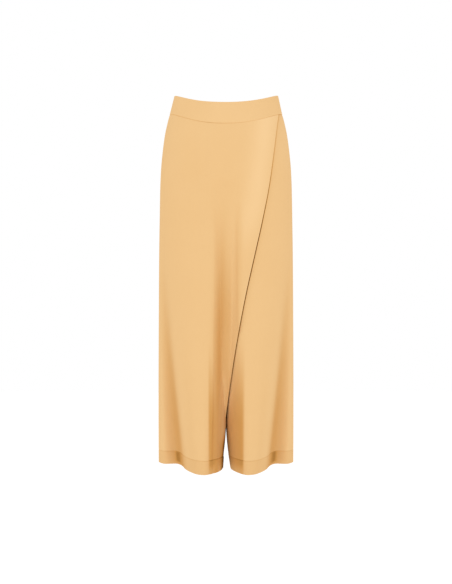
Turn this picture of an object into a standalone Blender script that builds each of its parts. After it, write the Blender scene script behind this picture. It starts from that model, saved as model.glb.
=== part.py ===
"""High-waisted palazzo trousers with a wrap front, in the hollow shape they have when worn.

Metres. +Z is up, the front faces -Y and the wearer's left leg is at +X. The origin is the
centre of the waist opening, halfway up the waistband. Each pattern piece is one thin wall of
cloth. All of them are read from one surface: rings around the hips above the crotch, and a
ring around each leg below it. A ring is a smooth curve through named stations, which run from
the front seam round the outside of the leg to the back seam.
"""

import functools
import math

import bpy
import numpy as np

# Cloth and seams
WALL = 0.0012              # one layer of crepe
HEM_WALL = 0.0020          # the turned-up hem
SEAM_GAP = 0.0003          # between pieces that are sewn edge to edge
LAYER_GAP = 0.0004         # between the wrap and the panel beneath it
BAND_WALL = 2 * WALL + LAYER_GAP

# Levels
TOP_SIDE = 0.0245          # top of the waistband at the side seams
TOP_FRONT_DIP = 0.0370     # how much lower the front centre is
TOP_FRONT_POWER = 1.9      # how late the dip sets in, going round from the side
TOP_BACK_RISE = 0.0035     # how much higher the back centre is
SEAM_SIDE = -0.0275        # waistband seam at the side seams
SEAM_FRONT_DIP = 0.0415
SEAM_FRONT_POWER = 2.35
SEAM_BACK_RISE = 0.0020
HIP_LEVEL = -0.150         # rings are level from here down
RISE_START = -0.200        # the crotch seam starts to curve back between the legs
CROTCH = -0.280
HEM_TOP = -0.9150          # upper edge of the turned-up hem
HEM = -0.9495
UNDER_HEM_RISE = 0.006     # the panel under the wrap is this much shorter

ROUNDNESS = 2.15           # exponent of the hip rings: 2 is an ellipse
LEG_OPENING_POWER = 1.5    # how late the leg takes up its shape at the hem
GAP_START = -0.830         # the legs touch down to here and part below it
GAP_POWER = 1.9

# Hip rings: depths are from the side seams' plane to the front and the back
HIP_COLUMNS = ("level", "half_width", "front_depth", "back_depth")
HIP_RINGS = (
    (0.0320, 0.1346, 0.0915, 0.0870),
    (0.0261, 0.1360, 0.0925, 0.0880),
    (0.0056, 0.1411, 0.0972, 0.0935),
    (-0.0250, 0.1488, 0.1050, 0.1020),
    (-0.0480, 0.1547, 0.1098, 0.1090),
    (-0.0765, 0.1609, 0.1145, 0.1170),
    (-0.1160, 0.1664, 0.1200, 0.1260),
    (-0.1690, 0.1715, 0.1245, 0.1315),
    (-0.2220, 0.1738, 0.1260, 0.1320),
    (-0.3020, 0.1752, 0.1265, 0.1310),
    (-0.4080, 0.1768, 0.1265, 0.1300),
    (-0.6500, 0.1784, 0.1260, 0.1280),
    (-0.9495, 0.1812, 0.1250, 0.1265),
)

# Stations of a leg's ring. The angle places the station on a hip ring, 0 at the side seam and
# 90 at the seam in the middle. The x and y are those at the hem. The last column counts the
# panel's columns between the station and the one before.
STATION_COLUMNS = ("name", "angle", "hem_x", "hem_y", "columns")
FRONT_STATIONS = (
    ("side", 0.0, 0.1815, 0.0400, 0),
    ("fin", 9.0, 0.1640, 0.0100, 2),
    ("valley", 20.0, 0.1300, 0.0060, 2),
    ("flank", 34.0, 0.1020, -0.0640, 2),
    ("shoulder", 50.0, 0.0775, -0.1125, 2),
    ("ridge", 66.0, 0.0562, -0.1248, 2),
    ("crease", 76.0, 0.0377, -0.1104, 2),
    ("inner", 83.0, 0.0135, -0.0545, 2),
    ("seam", 90.0, 0.0125, 0.0250, 2),
)
BACK_STATIONS = (
    ("side", 0.0, 0.1815, 0.0400, 0),
    ("fin", 9.0, 0.1630, 0.0640, 2),
    ("valley", 20.0, 0.1290, 0.0790, 2),
    ("flank", 35.0, 0.1030, 0.0985, 2),
    ("shoulder", 51.0, 0.0810, 0.1195, 2),
    ("ridge", 66.0, 0.0570, 0.1265, 2),
    ("crease", 76.0, 0.0360, 0.1150, 2),
    ("inner", 83.0, 0.0140, 0.0790, 2),
    ("seam", 90.0, 0.0125, 0.0250, 2),
)
LAST = len(FRONT_STATIONS) - 1

# The last stations turn in between the legs around the crotch: where each of them is there,
# and the levels between which it gets there. The seam follows the rise curve instead.
INNER_COLUMNS = ("name", "x", "front_y", "back_y", "from_level", "to_level")
INNER_STATIONS = (
    ("crease", 0.0300, -0.1170, 0.1225, -0.1800, -0.3600),
    ("inner", 0.0060, -0.0820, 0.0880, -0.2000, -0.3200),
    ("seam", 0.0004, 0.0120, 0.0120, RISE_START, CROTCH),
)
CREASE = LAST - len(INNER_STATIONS) + 1

# The wrap: its free edge as seen from the front, and the sag of the cloth between the legs
EDGE_COLUMNS = ("level", "x")
WRAP_EDGE = (
    (0.0300, 0.1400),
    (-0.0330, 0.1360),
    (-0.0620, 0.1314),
    (-0.1280, 0.1225),
    (-0.2216, 0.1089),
    (-0.3137, 0.0907),
    (-0.4047, 0.0702),
    (-0.4950, 0.0500),
    (-0.5853, 0.0326),
    (-0.6766, 0.0177),
    (-0.7695, 0.0051),
    (-0.8490, -0.0051),
    (-0.9700, -0.0122),
)
SAG_COLUMNS = ("level", "sag", "middle_share", "clearance")
WRAP_SAG = (
    (-0.2000, 0.000, 0.60, 0.0000),
    (-0.2800, 0.004, 0.60, 0.0015),
    (-0.4000, 0.009, 0.55, 0.0015),
    (-0.5200, 0.013, 0.55, 0.0015),
    (-0.6500, 0.020, 0.70, 0.0020),
    (-0.7700, 0.036, 0.92, 0.0025),
    (-0.8500, 0.054, 1.00, 0.0045),
    (-0.9495, 0.072, 1.10, 0.0110),
)
TROUGH_RIGHT = -0.0185     # the two troughs of the wrap below the crotch
TROUGH_LEFT = 0.0235
BLEND = 0.004              # softness where the wrap leaves a leg
CLEARANCE_FADE = 0.008     # width over which it comes clear of a leg, inside the crease
STEP_UP_FROM = -0.075      # between these two places the wrap rises from lying level with the
STEP_UP_TO = -0.015        # right side's surface to lying on the left leg's panel
STEP_DOWN_FROM = 0.134     # past its edge the waistband comes down again
STEP_DOWN_TO = 0.1495

# Rows of the panels
YOKE_ROWS = 4              # from the waistband seam to the hip level
HIP_ROWS = 2               # down to the start of the rise curve
RISE_ROWS = 5              # down to the crotch
LEG_ROWS = 12              # down to the hem's upper edge
HEM_STEP = 0.0010          # height of the step where the hem's wall gets thicker
BAND_ROWS = 3
MIDDLE_COLUMN_STEP = 0.25  # extra columns of the wrap where it goes in between the legs

# Steps for measuring slopes: in places along a ring, and in metres
PLACE_STEP = 0.01
LEVEL_STEP = 0.002
SEAM_PLACE_STEP = 0.02
WRAP_X_STEP = 0.0015
WRAP_LEVEL_STEP = 0.003
OUTLINE_SAMPLES = 60
EDGE_SAMPLES = 34

CLOTH_COLOUR = (0.86, 0.56, 0.27, 1.0)
CLOTH_ROUGHNESS = 0.85


def column(table, names, name):
    """One named column of a table."""
    place = names.index(name)
    return np.array([row[place] for row in table])


def smooth(low, high, value):
    """0 at low, 1 at high, level past them and an S-curve between."""
    share = min(max((value - low) / (high - low), 0.0), 1.0)
    return share * share * (3.0 - 2.0 * share)


def mix(start, end, share):
    return start + (end - start) * share


def curve_through(places, values, place):
    """Monotone cubic curve through a table's points, which may run up or down."""
    if places[0] > places[-1]:
        places, values = places[::-1], values[::-1]
    place = min(max(place, places[0]), places[-1])
    i = min(max(int(np.searchsorted(places, place)) - 1, 0), len(places) - 2)
    steps = np.diff(places)
    slopes = np.diff(values) / steps

    def tangent(k):
        if k == 0:
            return slopes[0]
        if k == len(slopes):
            return slopes[-1]
        before, after = slopes[k - 1], slopes[k]
        if before * after <= 0.0:
            return 0.0
        return 2.0 * before * after / (before + after)

    t = (place - places[i]) / steps[i]
    return float(
        values[i] * (1 + 2 * t) * (1 - t) ** 2
        + values[i + 1] * t * t * (3 - 2 * t)
        + steps[i] * (tangent(i) * t * (1 - t) ** 2 - tangent(i + 1) * t * t * (1 - t))
    )


HIP_TABLES = {name: column(HIP_RINGS, HIP_COLUMNS, name) for name in HIP_COLUMNS}
EDGE_TABLES = {name: column(WRAP_EDGE, EDGE_COLUMNS, name) for name in EDGE_COLUMNS}
SAG_TABLES = {name: column(WRAP_SAG, SAG_COLUMNS, name) for name in SAG_COLUMNS}


def hip_size(name, z):
    return curve_through(HIP_TABLES["level"], HIP_TABLES[name], z)


def wrap_edge_x(z):
    return curve_through(EDGE_TABLES["level"], EDGE_TABLES["x"], z)


def wrap_sag(name, z):
    return curve_through(SAG_TABLES["level"], SAG_TABLES[name], z)


def rise_share(z):
    """0 at the start of the rise curve, 1 at the crotch: a quarter circle."""
    drop = min(max((RISE_START - z) / (RISE_START - CROTCH), 0.0), 1.0)
    return 1.0 - math.sqrt(1.0 - drop * drop)


def stations(z, is_front):
    """The stations of one half of the left leg's ring at level z, from side to seam."""
    table = FRONT_STATIONS if is_front else BACK_STATIONS
    half_width = hip_size("half_width", z)
    depth = -hip_size("front_depth", z) if is_front else hip_size("back_depth", z)
    angles = np.radians(column(table, STATION_COLUMNS, "angle"))
    power = 2.0 / ROUNDNESS
    points = np.column_stack([
        half_width * np.clip(np.cos(angles), 0.0, 1.0) ** power,
        depth * np.clip(np.sin(angles), 0.0, 1.0) ** power,
    ])
    for place, row in enumerate(INNER_STATIONS, CREASE):
        name, x, front_y, back_y, from_level, to_level = row
        share = rise_share(z) if name == "seam" else smooth(from_level, to_level, z)
        points[place] = mix(points[place], np.array([x, front_y if is_front else back_y]), share)
    hem = np.column_stack([column(table, STATION_COLUMNS, "hem_" + axis) for axis in "xy"])
    shares = np.full(hem.shape, max((CROTCH - z) / (CROTCH - HEM), 0.0) ** LEG_OPENING_POWER)
    shares[CREASE + 1:, 0] = max((GAP_START - z) / (GAP_START - HEM), 0.0) ** GAP_POWER
    return mix(points, hem, shares)


def ring(z):
    """The left leg's stations from the front seam round the side to the back seam."""
    return np.vstack([stations(z, True)[::-1], stations(z, False)[1:]])


@functools.lru_cache(maxsize=None)
def shaped_ring(z):
    """A ring's stations, and the tangents and chords of a smooth curve through them."""
    points = ring(z)
    chords = np.linalg.norm(np.diff(points, axis=0), axis=1)
    slopes = np.diff(points, axis=0) / chords[:, None]
    tangents = np.empty_like(points)
    tangents[1:-1] = (points[2:] - points[:-2]) / (chords[:-1] + chords[1:])[:, None]
    across = np.array([1.0, 0.0])
    if z > CROTCH:
        share = rise_share(z)
        tangents[0] = mix(across, slopes[0], share)
        tangents[-1] = mix(-across, slopes[-1], share)
    else:
        tangents[0] = tangents[-1] = 0.5 * (slopes[0] + slopes[-1])
    return points, tangents, chords


def on_ring(z, place):
    """Point of the left leg's ring at level z. Whole numbers of place are the stations."""
    points, tangents, chords = shaped_ring(z)
    i = min(max(int(math.floor(place)), 0), len(points) - 2)
    t = place - i
    return (
        points[i] * (1 + 2 * t) * (1 - t) ** 2
        + points[i + 1] * t * t * (3 - 2 * t)
        + chords[i] * (tangents[i] * t * (1 - t) ** 2 - tangents[i + 1] * t * t * (1 - t))
    )


def half_place(share_place, is_front):
    """Place on the whole ring of a place counted from the side seam."""
    return LAST - share_place if is_front else LAST + share_place


def angle_at(share_place, is_front):
    table = FRONT_STATIONS if is_front else BACK_STATIONS
    angles = column(table, STATION_COLUMNS, "angle")
    return math.radians(float(np.interp(share_place, np.arange(LAST + 1), angles)))


def top_level(share_place, is_front):
    height = math.sin(angle_at(share_place, is_front))
    if is_front:
        return TOP_SIDE - TOP_FRONT_DIP * height ** TOP_FRONT_POWER
    return TOP_SIDE + TOP_BACK_RISE * height ** 2


def seam_level(share_place, is_front):
    height = math.sin(angle_at(share_place, is_front))
    if is_front:
        return SEAM_SIDE - SEAM_FRONT_DIP * height ** SEAM_FRONT_POWER
    return SEAM_SIDE + SEAM_BACK_RISE * height ** 2


def panel_columns(is_front):
    """Places of a panel's columns, from just beside the side seam to just beside the middle."""
    table = FRONT_STATIONS if is_front else BACK_STATIONS
    places = [0.0]
    for i, count in enumerate(column(table, STATION_COLUMNS, "columns")[1:]):
        places += [i + (k + 1) / count for k in range(count)]
    return places


def seam_inset(z, place, is_front):
    """Moves the end columns off the seam by half the seam gap, measured on the ring."""
    half_gap = 0.5 * SEAM_GAP
    step = SEAM_PLACE_STEP
    here = half_place(place, is_front)
    if place < 0.5:
        length = np.linalg.norm(on_ring(z, here) - on_ring(z, half_place(step, is_front)))
        return place + step * half_gap / length
    if place > LAST - 0.5:
        other = half_place(LAST - step, is_front)
        length = np.linalg.norm(on_ring(z, here) - on_ring(z, other))
        return place - step * half_gap / length
    return place


def surface(place, z, is_front):
    """Point of the left side's surface, counted from the side seam, and its outward normal."""
    here = half_place(place, is_front)
    x, y = on_ring(z, here)
    point = np.array([x, y, z])
    step, drop = PLACE_STEP, LEVEL_STEP
    along = on_ring(z, min(here + step, 2 * LAST)) - on_ring(z, max(here - step, 0.0))
    down = on_ring(z - drop, here) - on_ring(z + drop, here)
    normal = np.cross([along[0], along[1], 0.0], [down[0], down[1], -2 * drop])
    return point, -normal / np.linalg.norm(normal)


def lift_of_wrap(x):
    """Share of a layer that the wrap's outer face stands above the plain surface."""
    return smooth(STEP_UP_FROM, STEP_UP_TO, x) * (1.0 - smooth(STEP_DOWN_FROM, STEP_DOWN_TO, x))


def wall_at(z):
    share = smooth(HEM_TOP + 0.5 * HEM_STEP, HEM_TOP - 0.5 * HEM_STEP, z)
    return mix(WALL, HEM_WALL, share)


def row_levels(place, is_front, hem):
    """Levels of a panel's rows at one column, from the waistband seam to the hem."""
    top = seam_level(place, is_front) - 0.5 * SEAM_GAP
    levels = [mix(top, HIP_LEVEL, k / YOKE_ROWS) for k in range(YOKE_ROWS)]
    levels += [mix(HIP_LEVEL, RISE_START, k / HIP_ROWS) for k in range(HIP_ROWS)]
    for k in range(RISE_ROWS):
        turn = 0.5 * math.pi * k / RISE_ROWS
        levels.append(mix(RISE_START, CROTCH, math.sin(turn)))
    step_top = HEM_TOP + 0.5 * HEM_STEP
    levels += [mix(CROTCH, step_top, k / LEG_ROWS) for k in range(LEG_ROWS + 1)]
    levels += [HEM_TOP - 0.5 * HEM_STEP, mix(HEM_TOP, hem, 0.5), hem]
    return levels


def leg_panel_walls(is_front, side, under_wrap):
    """Outer and inner points of a leg panel. side is 1 for the left leg, -1 for the right."""
    outer, inner = [], []
    hem = HEM + UNDER_HEM_RISE if under_wrap else HEM
    for place in panel_columns(is_front):
        outer_column, inner_column = [], []
        for z in row_levels(place, is_front, hem):
            point, normal = surface(seam_inset(z, place, is_front), z, is_front)
            wall = wall_at(z)
            lift = 0.0
            if under_wrap:
                lift = -(wall + LAYER_GAP) * (1.0 - lift_of_wrap(-point[0]))
            flip = np.array([side, 1.0, 1.0])
            outer_column.append((point + normal * lift) * flip)
            inner_column.append((point + normal * (lift - wall)) * flip)
        outer.append(outer_column)
        inner.append(inner_column)
    return np.array(outer), np.array(inner)


@functools.lru_cache(maxsize=None)
def front_outline(z):
    """x and y of the left leg's front surface, from the middle seam outwards."""
    curve = np.array([on_ring(z, place) for place in np.linspace(0.0, LAST - 2.0, OUTLINE_SAMPLES)])
    return np.maximum.accumulate(curve[:, 0]), curve[:, 1]


def front_depth(x, z):
    """y of the legs' front surface at x, deep between the legs."""
    return float(np.interp(abs(x), *front_outline(z)))


def soft_lower(a, b, softness):
    """The lower of two values, rounded off where they meet."""
    share = max(softness - abs(a - b), 0.0) / softness
    return min(a, b) - share * share * softness * 0.25


def wrap_depth(x, z, crease_x, crease_y):
    """y of the wrap's plain surface at x: on the legs, or sagging between them."""
    sag, middle = wrap_sag("sag", z), wrap_sag("middle_share", z)
    places = np.array([-crease_x, TROUGH_RIGHT, 0.5 * (TROUGH_RIGHT + TROUGH_LEFT),
                       TROUGH_LEFT, crease_x])
    if places[1] <= places[0]:
        places[0] = places[1] - 0.004
    if places[-1] <= places[-2]:
        places[-1] = places[-2] + 0.004
    shares = np.array([0.0, 1.0, middle, 1.0, 0.0])
    bridge = crease_y + sag * curve_through(places, shares, x)
    clearance = wrap_sag("clearance", z) * smooth(crease_x, crease_x - CLEARANCE_FADE, abs(x))
    return soft_lower(front_depth(x, z) - clearance, bridge, BLEND)


def wrap_point(place, z, side):
    """Point of the wrap's plain surface and its normal, over the leg of the given side."""
    point, normal = surface(place, z, True)
    if z >= RISE_START:
        return point * [side, 1, 1], normal * [side, 1, 1]
    if place <= CREASE - 1.0:
        return point * [side, 1, 1], normal * [side, 1, 1]
    if place <= CREASE:
        x = point[0] * side
    else:
        x = side * on_ring(z, half_place(CREASE, True))[0] * (LAST - place) / (LAST - CREASE)
    step, drop = WRAP_X_STEP, WRAP_LEVEL_STEP

    def depth(at_x, at_z):
        return wrap_depth(at_x, at_z, *on_ring(at_z, half_place(CREASE, True)))

    y = depth(x, z)
    slope_x = (depth(x + step, z) - depth(x - step, z)) / (2 * step)
    slope_z = (depth(x, z + drop) - depth(x, z - drop)) / (2 * drop)
    field_normal = np.array([slope_x, -1.0, slope_z])
    return np.array([x, y, z]), field_normal / np.linalg.norm(field_normal)


def wrap_walls():
    """Outer and inner points of the wrap, from the right side seam past its free edge."""
    places = panel_columns(True)
    places += [place + MIDDLE_COLUMN_STEP for place in places if CREASE <= place < LAST]
    places.sort()
    right = [(place, -1) for place in places]
    left = [(place, 1) for place in places[-2:1:-1]]
    outer, inner = [], []
    for place, side in right + left:
        outer_column, inner_column = [], []
        for z in row_levels(place, True, HEM):
            here = seam_inset(z, place, True) if place < 0.5 else place
            point, normal = wrap_point(here, z, side)
            wall = wall_at(z)
            lift = (wall + LAYER_GAP) * lift_of_wrap(point[0])
            outer_column.append(point + normal * lift)
            inner_column.append(point + normal * (lift - wall))
        outer.append(outer_column)
        inner.append(inner_column)
    return np.array(outer), np.array(inner)


def band_walls(is_front):
    """Outer and inner points of half the waistband, from the right side seam to the left."""
    places = panel_columns(is_front)
    columns = [(place, -1) for place in places] + [(place, 1) for place in places[-2::-1]]
    outer, inner = [], []
    for place, side in columns:
        low = seam_level(place, is_front) + 0.5 * SEAM_GAP
        high = top_level(place, is_front)
        outer_column, inner_column = [], []
        for k in range(BAND_ROWS + 1):
            z = mix(high, low, k / BAND_ROWS)
            here = seam_inset(z, place, is_front) if place < 0.5 else place
            point, normal = surface(here, z, is_front)
            flip = np.array([side, 1.0, 1.0])
            point, normal = point * flip, normal * flip
            lift = (WALL + LAYER_GAP) * lift_of_wrap(point[0]) if is_front else 0.0
            outer_column.append(point + normal * lift)
            inner_column.append(point + normal * (lift - BAND_WALL))
        outer.append(outer_column)
        inner.append(inner_column)
    return np.array(outer), np.array(inner)


def cloth_material(name):
    """Each piece has its own copy of the crepe."""
    material = bpy.data.materials.new(name)
    material.use_nodes = True
    shader = material.node_tree.nodes["Principled BSDF"]
    shader.inputs["Base Color"].default_value = CLOTH_COLOUR
    shader.inputs["Roughness"].default_value = CLOTH_ROUGHNESS
    shader.inputs["Metallic"].default_value = 0.0
    return material


def add_wall(name, outer, inner):
    """Closed solid between two grids of points, with the outer grid facing out."""
    columns, rows = outer.shape[:2]
    points = np.vstack([outer.reshape(-1, 3), inner.reshape(-1, 3)])
    under = columns * rows

    def index(i, j):
        return i * rows + j

    faces = []
    for i in range(columns - 1):
        for j in range(rows - 1):
            a, b = index(i, j), index(i + 1, j)
            c, d = index(i + 1, j + 1), index(i, j + 1)
            faces += [(a, d, c, b), (a + under, b + under, c + under, d + under)]
    rim = [index(i, 0) for i in range(columns)]
    rim += [index(columns - 1, j) for j in range(1, rows)]
    rim += [index(i, rows - 1) for i in range(columns - 2, -1, -1)]
    rim += [index(0, j) for j in range(rows - 2, 0, -1)]
    for a, b in zip(rim, rim[1:] + rim[:1]):
        faces.append((a, b, b + under, a + under))
    mesh = bpy.data.meshes.new(name)
    mesh.from_pydata(points.tolist(), [], faces)
    volume = 0.0
    mesh.calc_loop_triangles()
    for triangle in mesh.loop_triangles:
        a, b, c = (mesh.vertices[k].co for k in triangle.vertices)
        volume += a.dot(b.cross(c))
    if volume < 0.0:
        mesh.flip_normals()
    mesh.shade_smooth()
    mesh.set_sharp_from_angle(angle=math.radians(50))
    mesh.materials.append(cloth_material(name))
    piece = bpy.data.objects.new(name, mesh)
    bpy.context.scene.collection.objects.link(piece)
    return piece


def edge_cutter():
    """Prism in front of the trousers that takes away what is left of the wrap's free edge."""
    levels = np.linspace(0.06, HEM - 0.02, EDGE_SAMPLES)
    outline = [(wrap_edge_x(z), z) for z in levels]
    reach, front, behind = 0.30, -0.30, 0.10
    outline += [(reach, levels[-1]), (reach, levels[0])]
    near = [(x, front, z) for x, z in outline]
    far = [(x, behind, z) for x, z in outline]
    count = len(outline)
    faces = [tuple(range(count)), tuple(range(2 * count - 1, count - 1, -1))]
    for i in range(count):
        k = (i + 1) % count
        faces.append((i, i + count, k + count, k))
    mesh = bpy.data.meshes.new("edge_cutter")
    mesh.from_pydata(near + far, [], faces)
    cutter = bpy.data.objects.new("edge_cutter", mesh)
    cutter.hide_render = True
    cutter.display_type = "WIRE"
    bpy.context.scene.collection.objects.link(cutter)
    return cutter


def add_wrap():
    wrap = add_wall("wrap_panel", *wrap_walls())
    cut = wrap.modifiers.new("free_edge", "BOOLEAN")
    cut.operation = "DIFFERENCE"
    cut.solver = "EXACT"
    cut.object = edge_cutter()
    return wrap


def build():
    for old in list(bpy.data.objects):
        bpy.data.objects.remove(old, do_unlink=True)
    add_wall("waistband_front", *band_walls(True))
    add_wall("waistband_back", *band_walls(False))
    add_wall("front_right_leg", *leg_panel_walls(True, -1, True))
    add_wall("front_left_leg", *leg_panel_walls(True, 1, False))
    add_wall("back_right_leg", *leg_panel_walls(False, -1, False))
    add_wall("back_left_leg", *leg_panel_walls(False, 1, False))
    add_wrap()


build()
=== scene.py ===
"""Looks of the palazzo trousers: crepe shells on the pattern pieces of the frame, with seams,
hems and soft folds, in plain studio light. Metres; +Z up, the front faces -Y."""

import math

import bpy
import numpy as np
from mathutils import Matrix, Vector


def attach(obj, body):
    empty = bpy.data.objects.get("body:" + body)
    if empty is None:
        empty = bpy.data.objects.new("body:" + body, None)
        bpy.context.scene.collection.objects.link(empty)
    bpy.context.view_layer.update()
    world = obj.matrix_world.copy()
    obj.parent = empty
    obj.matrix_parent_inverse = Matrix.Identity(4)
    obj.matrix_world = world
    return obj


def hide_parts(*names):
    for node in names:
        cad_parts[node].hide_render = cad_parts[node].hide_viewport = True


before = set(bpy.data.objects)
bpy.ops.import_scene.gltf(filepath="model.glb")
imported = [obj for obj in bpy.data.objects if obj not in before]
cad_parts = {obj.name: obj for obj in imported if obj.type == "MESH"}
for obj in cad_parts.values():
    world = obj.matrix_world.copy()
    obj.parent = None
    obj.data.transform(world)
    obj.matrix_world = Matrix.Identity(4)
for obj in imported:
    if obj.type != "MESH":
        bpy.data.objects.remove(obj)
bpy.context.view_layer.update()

# ---------------------------------------------------------------- sizes
# As in the part, or fitted a little closer to the photo.
WALL = 0.0012
HEM_WALL = 0.0020
SEAM_GAP = 0.00002     # sewn edges meet here; the solids keep a hair of space
LAYER_GAP = 0.0004
BAND_WALL = 2 * WALL + LAYER_GAP

TOP_SIDE = 0.0235
TOP_FRONT_DIP = 0.0370
TOP_FRONT_POWER = 1.9
TOP_BACK_RISE = 0.0035
SEAM_SIDE = -0.0275
SEAM_FRONT_DIP = 0.0415
SEAM_FRONT_POWER = 2.35
SEAM_BACK_RISE = 0.0020
HIP_LEVEL = -0.150
RISE_START = -0.200
CROTCH = -0.280
HEM_TOP = -0.9150
HEM = -0.9495
UNDER_HEM_RISE = 0.006

ROUNDNESS = 2.15
LEG_OPENING_POWER = 1.5
GAP_START = -0.830
GAP_POWER = 1.9

HIP_COLUMNS = ("level", "half_width", "front_depth", "back_depth")
HIP_RINGS = (
    (0.0320, 0.1346, 0.0915, 0.0870),
    (0.0261, 0.1360, 0.0925, 0.0880),
    (0.0056, 0.1411, 0.0972, 0.0935),
    (-0.0250, 0.1488, 0.1050, 0.1020),
    (-0.0480, 0.1547, 0.1098, 0.1090),
    (-0.0765, 0.1609, 0.1145, 0.1170),
    (-0.1160, 0.1664, 0.1200, 0.1260),
    (-0.1690, 0.1715, 0.1245, 0.1315),
    (-0.2220, 0.1738, 0.1260, 0.1320),
    (-0.3020, 0.1752, 0.1265, 0.1310),
    (-0.4080, 0.1768, 0.1265, 0.1300),
    (-0.6500, 0.1784, 0.1260, 0.1280),
    (-0.9495, 0.1812, 0.1250, 0.1265),
)

STATION_COLUMNS = ("name", "angle", "hem_x", "hem_y")
FRONT_STATIONS = (
    ("side", 0.0, 0.1815, 0.0400),
    ("fin", 9.0, 0.1640, 0.0100),
    ("valley", 20.0, 0.1300, 0.0060),
    ("flank", 34.0, 0.1020, -0.0640),
    ("shoulder", 50.0, 0.0775, -0.1125),
    ("ridge", 66.0, 0.0562, -0.1248),
    ("crease", 76.0, 0.0377, -0.1104),
    ("inner", 83.0, 0.0135, -0.0545),
    ("seam", 90.0, 0.0125, 0.0250),
)
BACK_STATIONS = (
    ("side", 0.0, 0.1815, 0.0400),
    ("fin", 9.0, 0.1630, 0.0640),
    ("valley", 20.0, 0.1290, 0.0790),
    ("flank", 35.0, 0.1030, 0.0985),
    ("shoulder", 51.0, 0.0810, 0.1195),
    ("ridge", 66.0, 0.0570, 0.1265),
    ("crease", 76.0, 0.0360, 0.1150),
    ("inner", 83.0, 0.0140, 0.0790),
    ("seam", 90.0, 0.0125, 0.0250),
)
LAST = len(FRONT_STATIONS) - 1

INNER_COLUMNS = ("name", "x", "front_y", "back_y", "from_level", "to_level")
INNER_STATIONS = (
    ("crease", 0.0300, -0.1170, 0.1225, -0.1800, -0.3600),
    ("inner", 0.0060, -0.0820, 0.0880, -0.2000, -0.3200),
    ("seam", -0.0003, 0.0120, 0.0120, RISE_START, CROTCH),
)
CREASE = LAST - len(INNER_STATIONS) + 1

EDGE_COLUMNS = ("level", "x")
WRAP_EDGE = (
    (0.0300, 0.1400),
    (-0.0330, 0.1360),
    (-0.0620, 0.1314),
    (-0.1280, 0.1225),
    (-0.2216, 0.1089),
    (-0.3137, 0.0907),
    (-0.4047, 0.0702),
    (-0.4950, 0.0500),
    (-0.5853, 0.0326),
    (-0.6766, 0.0177),
    (-0.7695, 0.0051),
    (-0.8490, -0.0051),
    (-0.9700, -0.0122),
)
SAG_COLUMNS = ("level", "sag", "middle_share", "clearance")
WRAP_SAG = (
    (-0.2000, 0.000, 0.60, 0.0000),
    (-0.2800, 0.003, 0.75, 0.0015),
    (-0.4000, 0.009, 0.70, 0.0015),
    (-0.5200, 0.014, 0.70, 0.0015),
    (-0.6500, 0.021, 0.88, 0.0020),
    (-0.7700, 0.036, 1.20, 0.0022),
    (-0.8500, 0.056, 1.16, 0.0032),
    (-0.9495, 0.080, 1.10, 0.0065),
)
TROUGH_RIGHT = -0.0185
TROUGH_LEFT = 0.0235
BLEND = 0.009
BLEND_LEVELS = (RISE_START, -0.320)
CLEARANCE_FADE = 0.014
HOOK_START, HOOK_SLOPE = 0.0014, 8.5   # how the wrap turns in round the right leg
# Where in x the wrap's outer face steps up a layer from the plain surface, and down again.
STEP_UP_FROM = -0.075
STEP_UP_TO = -0.015
STEP_DOWN_FROM = 0.134
STEP_DOWN_TO = 0.1495
KNOT_SPACING = 0.004       # least distance in x between the knots of the wrap's sagging curve
TINY_BLEND, TINY_LENGTH = 1e-6, 1e-9   # these keep divisions from zero

# ---------------------------------------------------------------- detail of the cloth, and painted shade and light
SEAM_ROLL_WIDTH = 0.0030   # how far from a sewn seam the cloth starts to roll in
SEAM_ROLL = 0.0009
SEAM_ROLL_POWER = 1.6
SEAM_ROLL_FADE = 0.02      # above the crotch, where the middle seam's roll ends
EDGE_LIFT_COLUMNS = ("level", "lift")
EDGE_LIFT = (              # how far the wrap's free edge stands off the leg beneath it
    (-0.0600, 0.0000),
    (-0.1500, 0.0006),
    (-0.3500, 0.0016),
    (-0.5500, 0.0022),
    (-0.7500, 0.0020),
    (-0.9495, 0.0015),
)
EDGE_LIFT_REACH = 0.016
EDGE_FLAT_REACH = 0.012    # this close to it the cloth is laid straight forwards
EDGE_FLAT_LEVELS = (-0.840, -0.740)

# Soft folds of the legs. Place counts the stations from the middle front seam (0) round the
# side (8) to the middle back seam (16); relief is outwards, and tone is the painted shade that
# darkens the colour in the fold, or painted light where it is below zero.
FOLD_COLUMNS = (
    "name", "top_place", "hem_place", "width", "from_level", "full_level", "relief", "tone",
)
FOLDS = (
    ("front_valley", 6.12, 5.72, 0.68, -0.36, -0.84, -0.0030, 0.78),
    ("front_lip", 7.30, 7.00, 0.45, -0.50, -0.90, 0.0014, -0.08),
    ("front_flank", 5.10, 4.95, 0.55, -0.45, -0.85, 0.0012, -0.08),
    ("front_ripple", 3.95, 4.20, 0.45, -0.55, -0.90, -0.0007, 0.06),
    ("front_ridge", 2.75, 2.75, 0.30, -0.60, -0.86, 0.0010, 0.00),
    ("back_fin", 9.05, 9.00, 0.40, -0.50, -0.92, 0.0020, -0.05),
    ("back_valley", 9.70, 9.95, 0.50, -0.36, -0.86, -0.0064, 0.52),
    ("back_roll", 10.75, 10.90, 0.45, -0.40, -0.88, 0.0042, -0.12),
    ("back_flank", 11.55, 11.80, 0.45, -0.30, -0.78, -0.0056, 0.46),
    ("back_ridge", 12.60, 12.75, 0.45, -0.38, -0.86, 0.0038, -0.12),
    ("back_crease", 13.55, 13.70, 0.38, -0.44, -0.82, -0.0036, 0.36),
    ("seat_left", 13.60, 14.60, 0.60, -0.19, -0.31, -0.0016, 0.10),
)
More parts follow.
